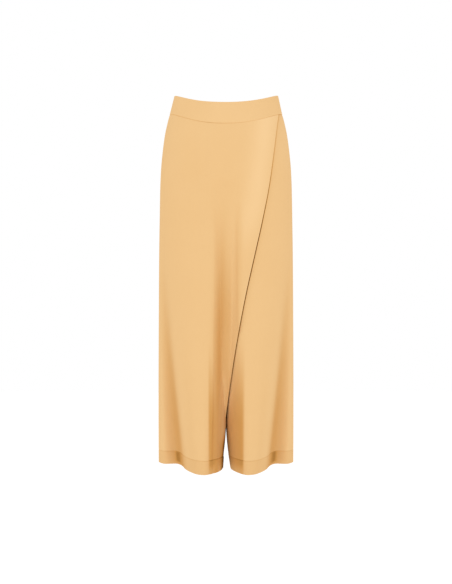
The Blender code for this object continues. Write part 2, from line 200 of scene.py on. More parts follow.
# The same painted shade and light for the loose middle of the wrap, by x.
WRAP_FOLD_COLUMNS = ("name", "top_x", "hem_x", "width", "from_level", "full_level", "tone")
WRAP_FOLDS = (
    ("trough", -0.0070, -0.0250, 0.0145, -0.22, -0.60, 0.80),
    ("between", 0.0050, 0.0020, 0.0100, -0.36, -0.58, 0.42),
    ("second", 0.0330, 0.0240, 0.0080, -0.24, -0.38, 0.20),
    ("lit", -0.0060, -0.0110, 0.0085, -0.68, -0.78, -0.80),
)
INNER_SHADE = 0.80           # painted shade on the faces of the legs that look at each other
INNER_PLACES = (2.52, 2.22)
INNER_LEVELS = (-0.58, -0.84)
INNER_X = (-0.0470, -0.0405)
INNER_MIDDLE_FADE = 0.35
INNER_MIDDLE_X = (-0.026, -0.008)
INNER_TILT = 0.24           # the painted shade is deeper beside the pressed ridges, less in the middle
INNER_TILT_PLACES = (1.0, 2.2)
INNER_TILT_X = (-0.012, -0.040)
INNER_HEM_FADE = 0.45       # the hems' lower edges catch more light
INNER_HEM_LEVELS = (-0.922, -0.946)
DEEP_SHADE = 0.40            # painted shade, deepest between the legs
DEEP_PLACES = (0.90, 0.10)
DEEP_LEVELS = (-0.85, -0.92)
LIGHT_TONE = -0.22          # the wrap catches more light along its free edge
LIGHT_FROM_EDGE = 0.030
LIGHT_WIDTH = 0.030
LIGHT_LEVELS = (-0.28, -0.44)
YOKE_TONE = -0.04           # the hips and the waistband lean back and catch more light
YOKE_LEVELS = (-0.21, -0.07)
# painted highlight down the middle of the waistband
BAND_MIDDLE_HIGHLIGHT = -0.05
BAND_MIDDLE_WIDTH = 0.075
RISE_SHADE = 0.03            # painted shade where the wrap leaves the rise
RISE_PLACE = (0.0, -0.228)
RISE_SIZE = (0.040, 0.032)
# the doubled hem is darker, and its sewn line has painted shade
HEM_TONE = 0.19
HEM_LINE_SHADE = 0.22
HEM_LINE_WIDTH = 0.0011
HEM_GROOVE = 0.0005
HEM_MARK_SHADE = 0.52        # painted shade where the folded hem gathers in the valley
HEM_MARK_WIDTH = 0.22
HEM_MARK_PLACE = 5.95
HEM_MARK_TOP = (HEM_TOP + 0.002, HEM_TOP - 0.004)
HEM_MARK_FOOT = (HEM + 0.002, HEM + 0.010)
HEM_TONE_LEVELS = (HEM_TOP + 0.001, HEM_TOP - 0.001)
HEM_WALL_LEVELS = (HEM_TOP + 0.0005, HEM_TOP - 0.0005)
# painted shade along the sewn seams, where the cloth rolls in
SEAM_TONE = 0.55
SEAM_TONE_WIDTH = 0.0011
EDGE_LINE_COLUMNS = ("level", "tone")
EDGE_LINE = (               # the shadow line beside the wrap's free edge
    (-0.0600, 0.60),
    (-0.1400, 0.80),
    (-0.2600, 1.45),
    (-0.4000, 2.05),
    (-0.6500, 1.35),
    (-0.7100, 1.00),
    (-0.7700, 0.30),
    (-0.8200, 0.20),
    (-0.8700, 0.70),
    (-0.9495, 0.80),
)
EDGE_LINE_START = 0.0011
EDGE_LINE_END = 0.0034
EDGE_SHADE = (              # its soft part on the cloth beneath, which lower down catches light
    (-0.6000, 0.12),
    (-0.7000, -0.20),
    (-0.7800, -0.90),
    (-0.8350, -0.90),
    (-0.8750, 0.00),
)
EDGE_SHADE_REACH = 0.010
RIM_SHADE = 1.75             # painted shade: the wrap's edge darkens where it turns in between the legs
RIM_WIDTH = 0.0048
RIM_LEVELS = (-0.840, -0.890)
STITCH_STEP = 0.0034
STITCH_TONE = 0.30
STITCH_RELIEF = 1.5
STITCH_ON = (-0.4, 0.1)     # how much of each sine wave along the hem is a stitch
STITCH_HEIGHT = (0.0002, 0.0006)

# ---------------------------------------------------------------- how fine the grids of points are
COLUMNS_PER_STATION = 13
ROW_STEP = 0.006
EDGE_STEPS = (0.0, 0.0005, 0.0011, 0.0019, 0.0030, 0.0046)   # of rows and columns at an edge
STATION_WIDTH = 0.03        # about one station's width of cloth, for the columns close to a seam
COLUMN_MARGIN = 0.05        # clear space in place beyond those close columns
YOKE_ROWS_FROM = -0.05
RISE_ROWS = 22
HEM_LINE_STEPS = (0.0030, 0.0018, 0.0009, 0.0003, -0.0003, -0.0009, -0.0018, -0.0030)
HEM_LINE_MARGIN = 0.004     # clear space above and below the rows along the hem's sewn line
HEM_BAND_ROWS = 6
HEM_EDGE_STEPS = (0.0025, 0.0014, 0.0006, 0.0)
BAND_ROWS = 11
PROBE_STEP = 0.02           # in place, for measuring how much cloth a step along the ring is
OUTLINE_POINTS = 90
OUTLINE_END = LAST - 2.0    # the valley, which lies beyond the wrap's free edge at every level
SEAM_TABLE_POINTS = 200
WRAP_COLUMNS = 70           # beyond the right leg's ridge
WRAP_REACH = 0.12           # about how wide the wrap is there, for the columns close to its edge
WRAP_MARGIN = 0.01
EDGE_SEAM_LEVEL = -0.036    # where the wrap's free edge meets the waistband
SHARP_ANGLE = 55.0

# ---------------------------------------------------------------- material
# Position and colour of the painted light and shade: lit, plain, deep in a fold, and nearly closed
# off.
RAMP = (
    (0.00, (0.90, 0.63, 0.34, 1.0)),
    (0.20, (0.79, 0.505, 0.234, 1.0)),
    (0.60, (0.62, 0.312, 0.090, 1.0)),
    (0.85, (0.30, 0.135, 0.022, 1.0)),
    (1.00, (0.14, 0.044, 0.005, 1.0)),
)
PLAIN, PER_TONE = 0.20, 0.40
ROUGHNESS, GLOSS = 0.86, 0.04
SHEEN, SHEEN_ROUGHNESS, SHEEN_TINT = 0.04, 0.5, (0.95, 0.66, 0.36, 1.0)
CLOUD_SCALE, CLOUD_DETAIL, CLOUD_TONE = 11.0, 3.0, 0.10
GRAIN_SCALE, GRAIN_DETAIL, GRAIN_TONE = 620.0, 2.0, 0.10
BUMP_STRENGTH, BUMP_DEPTH = 0.5, 0.0002

# ---------------------------------------------------------------- light and camera
LENS, SENSOR = 50.0, 36.0
CAMERA_DISTANCE = 2.149
CAMERA_LEVEL = -0.4925
FLOOR_LEVEL = -1.50
FLOOR_HALF = 6.0
FLOOR_ROUGHNESS = 0.9
FLOOR_GLOW = 0.06   # keeps the pale floor as light as the wall behind it
WHITE = (1.0, 1.0, 1.0, 1.0)
WORLD_STRENGTH = 1.0
SOFTBOX_COLUMNS = ("name", "azimuth", "distance", "level", "size", "power")
SOFTBOXES = (
    ("softbox_left", -16.0, 3.0, 0.60, (1.2, 2.2), 4.0),
    ("softbox_right", 16.0, 3.0, 0.60, (1.2, 2.2), 4.0),
)


def column(table, names, name):
    place = names.index(name)
    return np.array([row[place] for row in table])


def smooth(low, high, value):
    """0 at low, 1 at high, level past them and an S-curve between."""
    share = np.clip((value - low) / (high - low), 0.0, 1.0)
    return share * share * (3.0 - 2.0 * share)


def mix(start, end, share):
    return start + (end - start) * share


def curve_through(places, values, at):
    """Monotone cubic curve through a table's points, which may run up or down."""
    if places[0] > places[-1]:
        places, values = places[::-1], values[::-1]
    at = np.clip(at, places[0], places[-1])
    i = np.clip(np.searchsorted(places, at) - 1, 0, len(places) - 2)
    steps = np.diff(places)
    slopes = np.diff(values) / steps
    tangents = np.empty(len(places))
    tangents[0], tangents[-1] = slopes[0], slopes[-1]
    product = slopes[:-1] * slopes[1:]
    total = slopes[:-1] + slopes[1:]
    level = product <= 0.0
    tangents[1:-1] = np.where(level, 0.0, 2.0 * product / np.where(level, 1.0, total))
    t = (at - places[i]) / steps[i]
    return (
        values[i] * (1 + 2 * t) * (1 - t) ** 2
        + values[i + 1] * t * t * (3 - 2 * t)
        + steps[i] * (tangents[i] * t * (1 - t) ** 2 - tangents[i + 1] * t * t * (1 - t))
    )


HIP_TABLES = {name: column(HIP_RINGS, HIP_COLUMNS, name) for name in HIP_COLUMNS}
EDGE_TABLES = {name: column(WRAP_EDGE, EDGE_COLUMNS, name) for name in EDGE_COLUMNS}
SAG_TABLES = {name: column(WRAP_SAG, SAG_COLUMNS, name) for name in SAG_COLUMNS}


def hip_size(name, z):
    return curve_through(HIP_TABLES["level"], HIP_TABLES[name], z)


def wrap_edge_x(z):
    return curve_through(EDGE_TABLES["level"], EDGE_TABLES["x"], z)


def wrap_sag(name, z):
    return curve_through(SAG_TABLES["level"], SAG_TABLES[name], z)


def rise_share(z):
    """0 at the start of the rise curve, 1 at the crotch: a quarter circle."""
    drop = np.clip((RISE_START - z) / (RISE_START - CROTCH), 0.0, 1.0)
    return 1.0 - np.sqrt(1.0 - drop * drop)


def stations(z, is_front):
    """Stations of one half of the left leg's ring at each level, from side to seam."""
    table = FRONT_STATIONS if is_front else BACK_STATIONS
    half_width = hip_size("half_width", z)
    depth = -hip_size("front_depth", z) if is_front else hip_size("back_depth", z)
    angles = np.radians(column(table, STATION_COLUMNS, "angle"))
    power = 2.0 / ROUNDNESS
    points = np.stack([
        half_width[:, None] * np.clip(np.cos(angles), 0.0, 1.0) ** power,
        depth[:, None] * np.clip(np.sin(angles), 0.0, 1.0) ** power,
    ], axis=-1)
    for place, row in enumerate(INNER_STATIONS, CREASE):
        inner = dict(zip(INNER_COLUMNS, row))
        share = rise_share(z)
        if inner["name"] != "seam":
            share = smooth(inner["from_level"], inner["to_level"], z)
        target = np.array([inner["x"], inner["front_y" if is_front else "back_y"]])
        points[:, place] = mix(points[:, place], target, share[:, None])
    hem = np.column_stack([column(table, STATION_COLUMNS, "hem_" + axis) for axis in "xy"])
    shares = np.empty(points.shape)
    opening = np.clip((CROTCH - z) / (CROTCH - HEM), 0.0, None) ** LEG_OPENING_POWER
    apart = np.clip((GAP_START - z) / (GAP_START - HEM), 0.0, None) ** GAP_POWER
    shares[:] = opening[:, None, None]
    shares[:, CREASE + 1:, 0] = apart[:, None]
    return mix(points, hem, shares)


def on_ring(z, place):
    """Points of the left leg's ring at levels z. Whole numbers of place are stations, from
    the front seam round the side to the back seam."""
    z, place = np.broadcast_arrays(np.asarray(z, float), np.asarray(place, float))
    shape = z.shape
    z, place = z.ravel(), place.ravel()
    levels, which = np.unique(z, return_inverse=True)
    front, back = stations(levels, True)[:, ::-1], stations(levels, False)[:, 1:]
    points = np.concatenate([front, back], axis=1)
    chords = np.linalg.norm(np.diff(points, axis=1), axis=2)
    slopes = np.diff(points, axis=1) / chords[..., None]
    tangents = np.empty_like(points)
    both_chords = chords[:, :-1] + chords[:, 1:]
    tangents[:, 1:-1] = (points[:, 2:] - points[:, :-2]) / both_chords[..., None]
    across = np.array([1.0, 0.0])
    share = rise_share(levels)[:, None]
    closed = 0.5 * (slopes[:, 0] + slopes[:, -1])
    above = (levels > CROTCH)[:, None]
    tangents[:, 0] = np.where(above, mix(across, slopes[:, 0], share), closed)
    tangents[:, -1] = np.where(above, mix(-across, slopes[:, -1], share), closed)
    i = np.clip(np.floor(place).astype(int), 0, points.shape[1] - 2)
    t = (place - i)[:, None]
    chord = chords[which, i][:, None]
    start, end = points[which, i], points[which, i + 1]
    leave, arrive = chord * tangents[which, i], chord * tangents[which, i + 1]
    found = (
        start * (1 + 2 * t) * (1 - t) ** 2
        + end * t * t * (3 - 2 * t)
        + leave * t * (1 - t) ** 2
        - arrive * t * t * (1 - t)
    )
    slope = (
        (end - start) * 6.0 * t * (1.0 - t)
        + leave * (1 - t) * (1 - 3 * t)
        - arrive * t * (2 - 3 * t)
    )
    outwards = np.column_stack([slope[:, 1], -slope[:, 0]])
    outwards /= np.maximum(np.linalg.norm(outwards, axis=1, keepdims=True), TINY_LENGTH)
    found = found + outwards * folds("relief", z, place)[:, None]
    return found.reshape(shape + (2,))


def folds(name, z, place):
    """Sum of the legs' soft folds: their relief or their painted shade and light."""
    total = np.zeros(np.broadcast(z, place).shape)
    for row in FOLDS:
        fold = dict(zip(FOLD_COLUMNS, row))
        centre = mix(fold["top_place"], fold["hem_place"], smooth(fold["from_level"], HEM, z))
        share = smooth(fold["from_level"], fold["full_level"], z)
        total += fold[name] * share * bump(place, centre, fold["width"])
    return total


def half_place(place, is_front):
    """Place on the whole ring of a place counted from the side seam."""
    return LAST - place if is_front else LAST + place


def angle_at(place, is_front):
    table = FRONT_STATIONS if is_front else BACK_STATIONS
    angles = column(table, STATION_COLUMNS, "angle")
    return np.radians(np.interp(place, np.arange(LAST + 1), angles))


def top_level(place, is_front):
    height = np.sin(angle_at(place, is_front))
    if is_front:
        return TOP_SIDE - TOP_FRONT_DIP * height ** TOP_FRONT_POWER
    return TOP_SIDE + TOP_BACK_RISE * height ** 2


def seam_level(place, is_front):
    height = np.sin(angle_at(place, is_front))
    if is_front:
        return SEAM_SIDE - SEAM_FRONT_DIP * height ** SEAM_FRONT_POWER
    return SEAM_SIDE + SEAM_BACK_RISE * height ** 2


def wall_at(z):
    return mix(WALL, HEM_WALL, smooth(*HEM_WALL_LEVELS, z))


def lift_of_wrap(x):
    """Share of a layer that the wrap's outer face stands above the plain surface."""
    return smooth(STEP_UP_FROM, STEP_UP_TO, x) * (1.0 - smooth(STEP_DOWN_FROM, STEP_DOWN_TO, x))


# ---------------------------------------------------------------- grids of points
def grid_normals(points):
    """Unit normals of a grid of points, columns first, pointing out of the trousers."""
    along = np.gradient(points, axis=0)
    down = np.gradient(points, axis=1)
    normals = np.cross(down, along)
    return normals / np.linalg.norm(normals, axis=2, keepdims=True)


def edge_distance(points, axis, at_end):
    """Distance along the cloth from one edge of a grid."""
    steps = np.linalg.norm(np.diff(points, axis=axis), axis=2)
    if at_end:
        steps = np.flip(steps, axis=axis)
    total = np.cumsum(steps, axis=axis)
    pad = [(0, 0), (0, 0)]
    pad[axis] = (1, 0)
    total = np.pad(total, pad)
    return np.flip(total, axis=axis) if at_end else total


def seam_roll(distance):
    """How deep the cloth rolls in towards a sewn seam."""
    share = np.clip(1.0 - distance / SEAM_ROLL_WIDTH, 0.0, 1.0)
    return SEAM_ROLL * share ** SEAM_ROLL_POWER


def panel_places():
    """Columns of a fine panel, from the side seam to the middle, closer at both seams."""
    places = np.linspace(0.0, LAST, LAST * COLUMNS_PER_STATION + 1)
    close = np.array(EDGE_STEPS[1:]) / STATION_WIDTH
    margin = close[-1] + COLUMN_MARGIN
    middle = places[(places > margin) & (places < LAST - margin)]
    return np.concatenate([[0.0], close, middle, LAST - close[::-1], [LAST]])


def row_levels(top, hem):
    """Levels of the rows of each column, from its top to the hem: shape (columns, rows)."""
    steps = np.array(EDGE_STEPS)
    yoke_count = int(round((YOKE_ROWS_FROM - HIP_LEVEL) / ROW_STEP))
    shares = np.linspace(0.0, 1.0, yoke_count + 1)[1:-1]
    yoke = [top - step for step in steps]
    yoke += [mix(top - steps[-1], HIP_LEVEL, share) for share in shares]
    level = np.arange(HIP_LEVEL, RISE_START, -ROW_STEP)
    turn = np.linspace(0.0, 0.5 * math.pi, RISE_ROWS)[:-1]
    rise = mix(RISE_START, CROTCH, np.sin(turn))
    leg_end = HEM_TOP + HEM_LINE_MARGIN
    leg = np.linspace(CROTCH, leg_end, int(round((CROTCH - leg_end) / ROW_STEP)))
    line = HEM_TOP + np.array(HEM_LINE_STEPS)
    turned_up = np.linspace(HEM_TOP - HEM_LINE_MARGIN, hem + HEM_LINE_MARGIN, HEM_BAND_ROWS)
    below = np.concatenate([level, rise, leg, line, turned_up, hem + np.array(HEM_EDGE_STEPS)])
    rows = yoke + [np.full_like(top, z) for z in below]
    return np.stack(rows, axis=1)


def inset_places(places, z, is_front):
    """Moves the end columns off the seams by half the seam gap."""
    moved = np.repeat(places[:, None], z.shape[1], axis=1)
    for end, away in ((0, PROBE_STEP), (-1, -PROBE_STEP)):
        here = on_ring(z[end], half_place(moved[end], is_front))
        other = on_ring(z[end], half_place(moved[end] + away, is_front))
        moved[end] += away * 0.5 * SEAM_GAP / np.linalg.norm(here - other, axis=1)
    return moved


def ring_grid(places, z, is_front):
    """Grid of points of the left side's plain surface."""
    flat = on_ring(z, half_place(places, is_front))
    return np.concatenate([flat, z[..., None]], axis=2)


def front_outline(levels):
    """x and y of the left leg's front surface at each level, from the middle seam outwards."""
    places = np.linspace(0.0, OUTLINE_END, OUTLINE_POINTS)
    flat = on_ring(levels[:, None], places[None, :])
    return np.maximum.accumulate(flat[..., 0], axis=1), flat[..., 1]


def soft_lower(a, b, softness):
    """The lower of two values, rounded off where they meet."""
    share = np.clip(softness - np.abs(a - b), 0.0, None) / softness
    return np.minimum(a, b) - share * share * softness * 0.25


def wrap_depth_row(x, z, crease, ridge_x, inner_x, outline_x, outline_y):
    """y of the wrap's plain surface at the places x of one level."""
    crease_x, crease_y = crease
    sag, middle = float(wrap_sag("sag", z)), float(wrap_sag("middle_share", z))
    places = np.array([
        min(-crease_x, TROUGH_RIGHT - KNOT_SPACING),
        TROUGH_RIGHT,
        0.5 * (TROUGH_RIGHT + TROUGH_LEFT),
        TROUGH_LEFT,
        max(crease_x, TROUGH_LEFT + KNOT_SPACING),
    ])
    shares = np.array([0.0, 1.0, middle, 1.0, 0.0])
    bridge = crease_y + sag * curve_through(places, shares, x)
    away = np.abs(x)
    clearance = float(wrap_sag("clearance", z)) * smooth(crease_x, crease_x - CLEARANCE_FADE, away)
    legs = np.interp(away, outline_x, outline_y)
    turn_x = inner_x + HOOK_START
    hook = np.interp(turn_x, outline_x, outline_y) + HOOK_SLOPE * (turn_x - away)
    legs = np.where(away < turn_x, np.minimum(legs, hook), legs)
    softness = max(BLEND * float(smooth(*BLEND_LEVELS, z)), TINY_BLEND)
    lowered = soft_lower(legs - clearance, bridge, softness)
    return mix(legs, lowered, smooth(ridge_x, crease_x, away))


# ---------------------------------------------------------------- meshes
def add_shell(name, outer, inner, material, looks):
    """Closed thin shell between two grids of points. looks holds, for each point, the tone
    (painted shade and light), the tone of the wrap's painted shadow line and the distance from the
    wrap's free edge, then the place along the hem and the height above the hem's stitches."""
    columns, rows = outer.shape[:2]
    points = np.concatenate([outer.reshape(-1, 3), inner.reshape(-1, 3)])
    under = columns * rows
    index = np.arange(columns * rows).reshape(columns, rows)
    a, b = index[:-1, :-1].ravel(), index[1:, :-1].ravel()
    c, d = index[1:, 1:].ravel(), index[:-1, 1:].ravel()
    faces = np.concatenate([
        np.stack([a, d, c, b], axis=1),
        np.stack([a, b, c, d], axis=1) + under,
    ])
    rim = np.concatenate([index[:, 0], index[-1, 1:], index[-2::-1, -1], index[0, -2:0:-1]])
    after = np.roll(rim, -1)
    faces = np.concatenate([faces, np.stack([rim, after, after + under, rim + under], axis=1)])
    mesh = bpy.data.meshes.new(name)
    mesh.from_pydata(points.tolist(), [], faces.tolist())
    corner = points[faces[0]]
    normal = np.cross(corner[1] - corner[0], corner[2] - corner[0])
    if np.dot(normal, outer[0, 0] - inner[0, 0]) < 0.0:
        mesh.flip_normals()
    mesh.materials.append(material)
    for label, grids in zip(("shade", "sewing"), (looks[:3], looks[3:])):
        values = np.zeros((2, under, 3))
        for axis, grid in enumerate(grids):
            values[:, :, axis] = np.broadcast_to(grid, outer.shape[:2]).reshape(-1)
        if label == "shade":
            values[1, :, 1] = 0.0
        attribute = mesh.attributes.new(label, "FLOAT_VECTOR", "POINT")
        attribute.data.foreach_set("vector", values.ravel())
    piece = bpy.data.objects.new(name, mesh)
    bpy.context.scene.collection.objects.link(piece)
    mesh.shade_smooth()
    mesh.set_sharp_from_angle(angle=math.radians(SHARP_ANGLE))
    return piece


def flip(points, side):
    """Points as they are for side 1, and mirrored to the other side for -1."""
    return points * np.array([side, 1.0, 1.0])


def bump(value, centre, width):
    """A soft bell of height 1."""
    return np.exp(-((value - centre) / width) ** 2)


def hem_line(z):
    """1 on the hem's sewn line, fading beside it."""
    return bump(z, HEM_TOP, HEM_LINE_WIDTH)


def hem_tone(z):
    """A darker band over the doubled hem, and painted shade in the line where it is sewn."""
    return HEM_TONE * smooth(*HEM_TONE_LEVELS, z) + HEM_LINE_SHADE * hem_line(z)


def seam_tone(distance):
    # painted shade along a sewn seam
    return SEAM_TONE * np.clip(1.0 - distance / SEAM_TONE_WIDTH, 0.0, 1.0)


def inner_shade(share, tilt, z):
    """Painted shade on the faces that look at each other between the legs."""
    tone = INNER_SHADE * share * smooth(*INNER_LEVELS, z)
    tone *= mix(1.0 - INNER_TILT, 1.0 + INNER_TILT, tilt)
    return tone * (1.0 - INNER_HEM_FADE * smooth(*INNER_HEM_LEVELS, z))


def level_tone(z):
    """Tone that only the level decides: the hems' darker band and painted shade, and the painted
    light on the hips.
    """
    return hem_tone(z) + YOKE_TONE * smooth(*YOKE_LEVELS, z)


def ring_tone(place, z):
    """Painted shade and light of the legs' plain surface by place on the ring."""
    near_middle = np.minimum(place, 2 * LAST - place)
    tone = folds("tone", z, place)
    tilt = smooth(*INNER_TILT_PLACES, near_middle)
    inner = inner_shade(smooth(*INNER_PLACES, near_middle), tilt, z)
    deep = DEEP_SHADE * smooth(*DEEP_PLACES, near_middle) * smooth(*DEEP_LEVELS, z)
    mark = HEM_MARK_SHADE * bump(place, HEM_MARK_PLACE, HEM_MARK_WIDTH)
    mark *= smooth(*HEM_MARK_TOP, z) * smooth(*HEM_MARK_FOOT, z)
    return np.maximum(tone, inner) + deep + mark + level_tone(z)


def wrap_tone(x, z):
    """Painted shade and light of the wrap's loose middle by x."""
    tone = np.zeros_like(x)
    for row in WRAP_FOLDS:
        fold = dict(zip(WRAP_FOLD_COLUMNS, row))
        centre = mix(fold["top_x"], fold["hem_x"], smooth(fold["from_level"], HEM, z))
        share = smooth(fold["from_level"], fold["full_level"], z)
        tone += fold["tone"] * share * bump(x, centre, fold["width"])
    inner = inner_shade(smooth(*INNER_X, x), smooth(*INNER_TILT_X, x), z)
    inner *= 1.0 - INNER_MIDDLE_FADE * smooth(*INNER_MIDDLE_X, x) * (1.0 - smooth(*DEEP_LEVELS, z))
    rise = bump(x, RISE_PLACE[0], RISE_SIZE[0]) * bump(z, RISE_PLACE[1], RISE_SIZE[1])
    folded = np.maximum(tone, inner + np.minimum(tone, 0.0))
    return folded + RISE_SHADE * rise + level_tone(z)


def by_level(rows, columns, z):
    """A table of levels and one value, read at levels z."""
    return curve_through(*[column(rows, columns, name) for name in columns], z)


def leg_panel(name, is_front, side, under_wrap, material):
    """Shell of one leg panel, made on the left side and flipped for the right."""
    places = panel_places()
    hem = HEM + UNDER_HEM_RISE if under_wrap else HEM
    z = row_levels(seam_level(places, is_front) - 0.5 * SEAM_GAP, hem)
    moved = inset_places(places, z, is_front)
    points = ring_grid(moved, z, is_front)
    normals = grid_normals(points) * (-1.0 if is_front else 1.0)
    wall = wall_at(z)
    lift = np.zeros_like(z)
    if under_wrap:
        lift -= (wall + LAYER_GAP) * (1.0 - lift_of_wrap(-points[..., 0]))
    from_side, from_top = edge_distance(points, 0, False), edge_distance(points, 1, False)
    middle_roll = seam_roll(edge_distance(points, 0, True))
    roll = seam_roll(from_side) + middle_roll * smooth(CROTCH, CROTCH + SEAM_ROLL_FADE, z)
    roll += seam_roll(from_top) + HEM_GROOVE * hem_line(z)
    outer = points + normals * (lift - roll)[..., None]
    inner = points + normals * (lift - roll - wall)[..., None]
    # painted shade and light of the cloth, with the painted shadow beside the wrap's free edge
    tone = ring_tone(half_place(moved, is_front), z) + seam_tone(from_side) + seam_tone(from_top)
    shadow, past_edge = 0.0, 1.0
    if is_front:
        shadow = by_level(EDGE_LINE, EDGE_LINE_COLUMNS, z)
        past_edge = side * points[..., 0] - wrap_edge_x(z)
    if is_front and not under_wrap:
        near_edge = bump(past_edge, 0.0, EDGE_SHADE_REACH) * (past_edge > 0.0)
        tone += by_level(EDGE_SHADE, EDGE_LINE_COLUMNS, z) * near_edge
    looks = (tone, shadow, past_edge, from_side, z - HEM_TOP)
    return add_shell(name, flip(outer, side), flip(inner, side), material, looks)


def wrap_grid():
    """Grid of the wrap's plain surface, from the right side seam to its free edge."""
    base = panel_places()
    base = base[base <= CREASE - 1.0]
    # beyond the ridge the columns spread evenly in x up to the free edge
    beyond = np.linspace(0.0, 1.0, WRAP_COLUMNS)[1:]
    fine = 1.0 - np.array(EDGE_STEPS[::-1]) / WRAP_REACH
    beyond = np.concatenate([beyond[beyond < fine[0] - WRAP_MARGIN], fine])
    z_left = row_levels(seam_level(base, True) - 0.5 * SEAM_GAP, HEM)
    moved = np.repeat(base[:, None], z_left.shape[1], axis=1)
    left = ring_grid(moved, z_left, True)
    left[..., 0] *= -1.0
    top_x = mix(left[-1, 0, 0], wrap_edge_x(EDGE_SEAM_LEVEL), beyond)
    top_places = np.interp(np.abs(top_x), *top_place_table())
    z_right = row_levels(seam_level(top_places, True) - 0.5 * SEAM_GAP, HEM)
    levels = np.unique(z_right)
    outline_x, outline_y = front_outline(levels)
    creases = on_ring(levels, half_place(float(CREASE), True))
    ridges = on_ring(levels, half_place(float(CREASE - 1), True))
    inners = on_ring(levels, half_place(float(CREASE + 1), True))
    start_x = -on_ring(z_right, half_place(float(CREASE - 1), True))[..., 0]
    x = mix(start_x, wrap_edge_x(z_right), beyond[:, None])
    y = np.empty_like(x)
    for k, level in enumerate(levels):
        here = z_right == level
        if level >= RISE_START:
            y[here] = np.interp(np.abs(x[here]), outline_x[k], outline_y[k])
        else:
            y[here] = wrap_depth_row(x[here], level, creases[k], ridges[k, 0], inners[k, 0],
                                     outline_x[k], outline_y[k])
    right = np.stack([x, y, z_right], axis=2)
    tones = [ring_tone(half_place(moved, True), z_left), wrap_tone(x, z_right)]
    return np.concatenate([left, right], axis=0), np.concatenate(tones, axis=0)


def top_place_table():
    """|x| at the waistband seam against place, for finding a column's seam level."""
    places = np.linspace(LAST, 0.0, SEAM_TABLE_POINTS)
    z = seam_level(places, True)
    flat = on_ring(z, half_place(places, True))
    return flat[:, 0], places


def wrap_panel(material):
    """Shell of the wrap, a layer above the right leg, its free edge a little lifted."""
    points, tone = wrap_grid()
    normals = grid_normals(points)
    z = points[..., 2]
    wall = wall_at(z)
    from_side, from_top = edge_distance(points, 0, False), edge_distance(points, 1, False)
    from_edge = edge_distance(points, 0, True)
    lift = (wall + LAYER_GAP) * lift_of_wrap(points[..., 0])
    lift += by_level(EDGE_LIFT, EDGE_LIFT_COLUMNS, z) * bump(from_edge, 0.0, EDGE_LIFT_REACH)
    flat = bump(from_edge, 0.0, EDGE_FLAT_REACH) * smooth(*EDGE_FLAT_LEVELS, z)
    normals = mix(normals, np.array([0.0, -1.0, 0.0]), flat[..., None])
    roll = seam_roll(from_side) + seam_roll(from_top) + HEM_GROOVE * hem_line(z)
    outer = points + normals * (lift - roll)[..., None]
    inner = points + normals * (lift - roll - wall)[..., None]
    tone += seam_tone(from_side) + seam_tone(from_top)
    # painted light along the wrap's free edge, and painted shade on its rim between the legs
    short_of_edge = wrap_edge_x(z) - points[..., 0]
    light = bump(short_of_edge, LIGHT_FROM_EDGE, LIGHT_WIDTH)
    tone += LIGHT_TONE * light * (1.0 - smooth(*LIGHT_LEVELS, z))
    tone += RIM_SHADE * bump(short_of_edge, 0.0, RIM_WIDTH) * smooth(*RIM_LEVELS, z)
    looks = (tone, 0.0, 1.0, from_side, z - HEM_TOP)
    return add_shell("wrap_shell", outer, inner, material, looks)


def band(name, is_front, material):
    """Shell of one half of the waistband, from the right side seam to the left."""
    places = panel_places()
    halves = []
    for some, side in ((places, -1.0), (places[-2::-1], 1.0)):
        low = seam_level(some, is_front) + 0.5 * SEAM_GAP
        high = top_level(some, is_front)
        middle = np.linspace(0.0, 1.0, BAND_ROWS)[1:-1]
        rows = [high - step for step in EDGE_STEPS]
        rows += [mix(high - EDGE_STEPS[-1], low + EDGE_STEPS[-1], share) for share in middle]
        rows += [low + step for step in EDGE_STEPS[::-1]]
        z = np.stack(rows, axis=1)
        moved = np.repeat(some[:, None], z.shape[1], axis=1)
        halves.append(flip(ring_grid(moved, z, is_front), side))
    points = np.concatenate(halves, axis=0)
    normals = grid_normals(points) * (1.0 if is_front else -1.0)
    lift = np.zeros(points.shape[:2])
    if is_front:
        lift += (WALL + LAYER_GAP) * lift_of_wrap(points[..., 0])
    seams = [edge_distance(points, 1, True)]
    seams += [edge_distance(points, 0, at_end) for at_end in (False, True)]
    roll = sum(seam_roll(distance) for distance in seams)
    outer = points + normals * (lift - roll)[..., None]
    inner = points + normals * (lift - roll - BAND_WALL)[..., None]
    # painted light on the band, with a painted highlight down its middle
    tone = YOKE_TONE + BAND_MIDDLE_HIGHLIGHT * bump(points[..., 0], 0.0, BAND_MIDDLE_WIDTH)
    tone += sum(seam_tone(distance) for distance in seams)
    looks = (tone, 0.0, 1.0, seams[1], 1.0)
    return add_shell(name, outer, inner, material, looks)


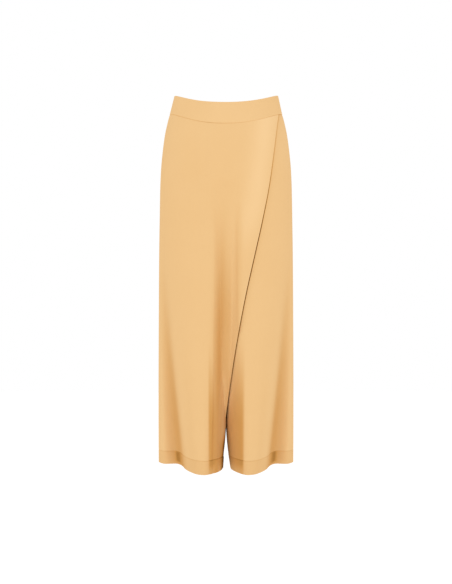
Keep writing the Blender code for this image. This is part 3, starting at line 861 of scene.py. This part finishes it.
# ---------------------------------------------------------------- material, light and camera
def crepe():
    """The one cloth: colour by tone, mostly painted shade and light, with slow unevenness, a fine
    grain and the hem's stitches.
    """
    material = bpy.data.materials.new("crepe")
    material.use_nodes = True
    nodes, links = material.node_tree.nodes, material.node_tree.links
    shader = nodes["Principled BSDF"]
    shader.inputs["Roughness"].default_value = ROUGHNESS
    shader.inputs["Specular IOR Level"].default_value = GLOSS
    shader.inputs["Sheen Weight"].default_value = SHEEN
    shader.inputs["Sheen Roughness"].default_value = SHEEN_ROUGHNESS
    shader.inputs["Sheen Tint"].default_value = SHEEN_TINT

    def math_node(operation, *values):
        node = nodes.new("ShaderNodeMath")
        node.operation = operation
        for socket, value in zip(node.inputs, values):
            if isinstance(value, (int, float)):
                socket.default_value = value
            else:
                links.new(value, socket)
        return node.outputs[0]

    def map_range(value, low, high, at_low, at_high):
        node = nodes.new("ShaderNodeMapRange")
        node.interpolation_type = "SMOOTHSTEP"
        sockets = ("From Min", "From Max", "To Min", "To Max")
        for socket, number in zip(sockets, (low, high, at_low, at_high)):
            node.inputs[socket].default_value = number
        links.new(value, node.inputs["Value"])
        return node.outputs[0]

    def attribute(name):
        node = nodes.new("ShaderNodeAttribute")
        node.attribute_name = name
        axes = nodes.new("ShaderNodeSeparateXYZ")
        links.new(node.outputs["Vector"], axes.inputs[0])
        return axes.outputs

    def noise(scale, detail):
        node = nodes.new("ShaderNodeTexNoise")
        node.inputs["Scale"].default_value = scale
        node.inputs["Detail"].default_value = detail
        links.new(place.outputs["Object"], node.inputs["Vector"])
        return node.outputs[0]

    place = nodes.new("ShaderNodeTexCoord")
    shade, sewing = attribute("shade"), attribute("sewing")
    line = map_range(shade[2], EDGE_LINE_START, EDGE_LINE_END, 1.0, 0.0)
    tone = math_node("MULTIPLY_ADD", line, shade[1], shade[0])
    stitch = math_node("SINE", math_node("MULTIPLY", sewing[0], 2.0 * math.pi / STITCH_STEP))
    on_stitch = map_range(stitch, *STITCH_ON, 0.0, 1.0)
    on_line = map_range(math_node("ABSOLUTE", sewing[1]), *STITCH_HEIGHT, 1.0, 0.0)
    stitched = math_node("MULTIPLY", on_stitch, on_line)
    tone = math_node("MULTIPLY_ADD", stitched, STITCH_TONE, tone)
    cloud, grain = noise(CLOUD_SCALE, CLOUD_DETAIL), noise(GRAIN_SCALE, GRAIN_DETAIL)
    tone = math_node("MULTIPLY_ADD", math_node("SUBTRACT", cloud, 0.5), CLOUD_TONE, tone)
    tone = math_node("MULTIPLY_ADD", math_node("SUBTRACT", grain, 0.5), GRAIN_TONE, tone)
    ramp = nodes.new("ShaderNodeValToRGB")
    stops = ramp.color_ramp.elements
    while len(stops) < len(RAMP):
        stops.new(0.5)
    for stop, (position, colour) in zip(stops, RAMP):
        stop.position, stop.color = position, colour
    links.new(math_node("MULTIPLY_ADD", tone, PER_TONE, PLAIN), ramp.inputs[0])
    links.new(ramp.outputs[0], shader.inputs["Base Color"])
    relief = nodes.new("ShaderNodeBump")
    relief.inputs["Strength"].default_value = BUMP_STRENGTH
    relief.inputs["Distance"].default_value = BUMP_DEPTH
    links.new(math_node("MULTIPLY_ADD", stitched, STITCH_RELIEF, grain), relief.inputs["Height"])
    links.new(relief.outputs[0], shader.inputs["Normal"])
    return material


def add_area(name, location, target, size, power):
    """A softbox that faces the target."""
    light = bpy.data.lights.new(name, "AREA")
    light.shape = "RECTANGLE"
    light.size, light.size_y = size
    light.energy = power
    lamp = bpy.data.objects.new(name, light)
    bpy.context.scene.collection.objects.link(lamp)
    lamp.location = location
    direction = np.array(target) - np.array(location)
    lamp.rotation_euler = Vector(direction).to_track_quat("-Z", "Y").to_euler()


def studio():
    """White room, softboxes and the photo's camera."""
    scene = bpy.context.scene
    scene.view_settings.view_transform = "Standard"
    world = bpy.data.worlds.new("studio")
    scene.world = world
    world.use_nodes = True
    background = world.node_tree.nodes["Background"]
    background.inputs["Color"].default_value = WHITE
    background.inputs["Strength"].default_value = WORLD_STRENGTH
    mesh = bpy.data.meshes.new("floor")
    corners = [(FLOOR_HALF * x, FLOOR_HALF * y, FLOOR_LEVEL)
               for x, y in ((-1, -1), (1, -1), (1, 1), (-1, 1))]
    mesh.from_pydata(corners, [], [(0, 1, 2, 3)])
    material = bpy.data.materials.new("floor")
    material.use_nodes = True
    shader = material.node_tree.nodes["Principled BSDF"]
    shader.inputs["Base Color"].default_value = WHITE
    shader.inputs["Roughness"].default_value = FLOOR_ROUGHNESS
    shader.inputs["Emission Color"].default_value = WHITE
    shader.inputs["Emission Strength"].default_value = FLOOR_GLOW
    mesh.materials.append(material)
    floor = bpy.data.objects.new("floor", mesh)
    scene.collection.objects.link(floor)
    for row in SOFTBOXES:
        box = dict(zip(SOFTBOX_COLUMNS, row))
        distance, angle = box["distance"], math.radians(box["azimuth"])
        place = (distance * math.sin(angle), -distance * math.cos(angle), box["level"])
        add_area(box["name"], place, (0.0, 0.0, CAMERA_LEVEL), box["size"], box["power"])
    camera_data = bpy.data.cameras.new("camera")
    camera_data.lens = LENS
    camera_data.sensor_width = SENSOR
    camera = bpy.data.objects.new("camera", camera_data)
    camera.location = (0.0, -CAMERA_DISTANCE, CAMERA_LEVEL)
    camera.rotation_euler = (math.radians(90), 0.0, 0.0)
    scene.collection.objects.link(camera)
    scene.camera = camera


cloth = crepe()
pieces = {
    "waistband_front": band("waistband_front_shell", True, cloth),
    "waistband_back": band("waistband_back_shell", False, cloth),
    "front_right_leg": leg_panel("front_right_shell", True, -1.0, True, cloth),
    "front_left_leg": leg_panel("front_left_shell", True, 1.0, False, cloth),
    "back_right_leg": leg_panel("back_right_shell", False, -1.0, False, cloth),
    "back_left_leg": leg_panel("back_left_shell", False, 1.0, False, cloth),
    "wrap_panel": wrap_panel(cloth),
}
for node, piece in pieces.items():
    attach(piece, "root")
    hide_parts(node)

studio()
